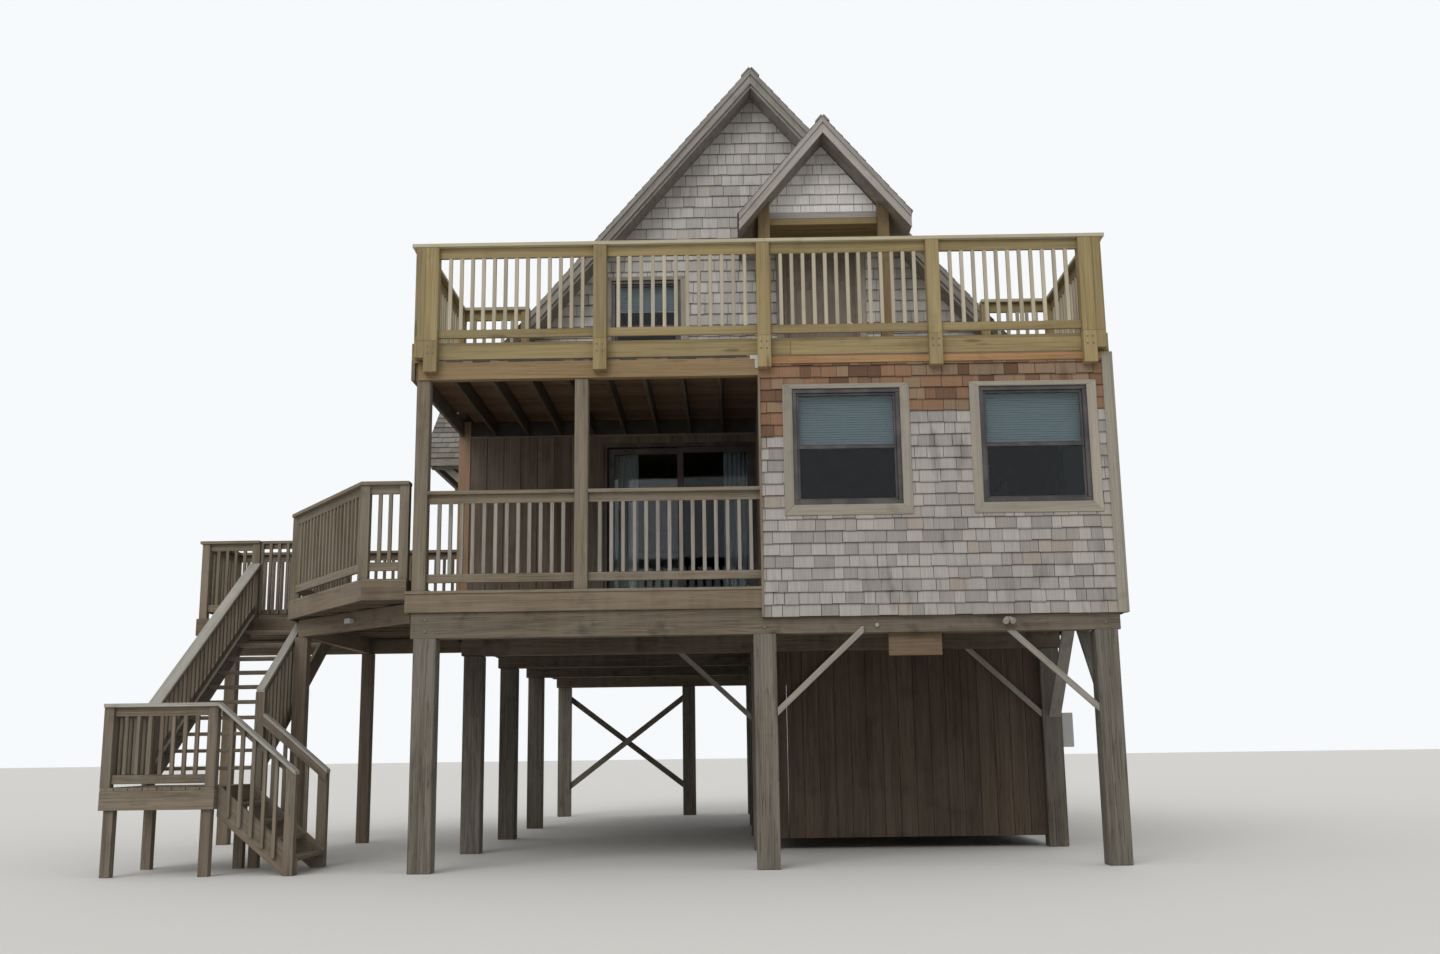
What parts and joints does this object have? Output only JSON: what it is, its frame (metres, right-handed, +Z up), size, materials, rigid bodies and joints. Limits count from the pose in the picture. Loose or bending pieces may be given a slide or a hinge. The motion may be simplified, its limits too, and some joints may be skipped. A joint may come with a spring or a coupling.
{
  "type": "beach house",
  "caption": "Shingled beach house on timber piles, with a covered porch, a railed roof deck, a steep gabled roof, a sliding glass door and a gated outside stair.",
  "frame": {"origin": "centre of the foot of the middle pile in the front row, on the ground", "axes": "+X to the right along the front, +Y from the front to the back of the house, +Z up"},
  "size_m": [11.08, 12.515, 9.685],
  "materials": {
    "pile_wood": "rough square timber, weathered",
    "frame_wood": "planed framing timber, tan",
    "weathered_wood": "weathered boards, grey brown",
    "new_wood": "new treated timber, greenish",
    "ceiling_wood": "boards, brown",
    "wall_shingles": "wood shingles, silver grey with newer courses in orange brown",
    "wall_boards": "upright boards, orange brown",
    "store_boards": "rough upright boards, dark brown",
    "roof_shingles": "wood shingles, weathered grey",
    "floor_wood": "floor boards",
    "window_dark": "dark brown, satin",
    "trim_wood": "planed boards, beige",
    "window_glass": "clear",
    "door_brown": "brown, satin",
    "door_wood": "planed, brown",
    "curtain_cloth": "plain woven, pale",
    "box_grey": "grey, matt"
  },
  "bodies": {
    "house": {"piles": "pile_wood", "girders": "pile_wood", "knee_braces": "pile_wood", "floor_frame": "frame_wood", "porch_roof_frame": "frame_wood", "porch_decking": "weathered_wood", "porch_posts": "weathered_wood", "porch_rail": "weathered_wood", "left_deck_frame": "weathered_wood", "left_deck_boards": "weathered_wood", "left_deck_legs": "weathered_wood", "left_deck_rails": "weathered_wood", "stair_strings": "weathered_wood", "stair_treads": "weathered_wood", "stair_landing": "weathered_wood", "stair_rails": "weathered_wood", "roof_deck_frame": "new_wood", "roof_deck_boards": "new_wood", "roof_deck_posts": "new_wood", "roof_deck_front_rail": "new_wood", "roof_deck_side_rails": "new_wood", "gablet_frame": "new_wood", "porch_ceiling": "ceiling_wood", "bay_front_wall": "wall_shingles", "bay_side_wall": "wall_shingles", "right_wall": "wall_shingles", "left_wall": "wall_shingles", "back_wall": "wall_shingles", "front_gable_wall": "wall_shingles", "back_gable_wall": "wall_shingles", "gablet_front": "wall_shingles", "porch_wall": "wall_boards", "wall_over_slider": "wall_boards", "store_walls": "store_boards", "main_roof_left": "roof_shingles", "main_roof_right": "roof_shingles", "gablet_roof": "roof_shingles", "entry_canopy": "roof_shingles", "interior_floor": "floor_wood", "upper_floor": "floor_wood", "window_frames": "window_dark", "window_trim": "trim_wood", "window_glass": "window_glass", "slider_frame": "door_brown", "fixed_panel": "door_brown", "entry_door": "door_wood", "upper_door": "door_wood", "curtains": "curtain_cloth", "meter_box": "box_grey"},
    "door_panel": {"sliding_panel": "door_brown", "sliding_glass": "window_glass"},
    "gate": {"stair_gate": "weathered_wood"}
  },
  "joints": [
    {"name": "door_slide", "type": "slide", "parent": "house", "child": "door_panel", "axis": [1, 0, 0], "range_m": [0, 0.8]},
    {"name": "gate_hinge", "type": "hinge", "parent": "house", "child": "gate", "pos_m": [-5.603, 4.03, 3.45], "axis": [0, 0, -1], "range_deg": [0, 90]}
  ]
}
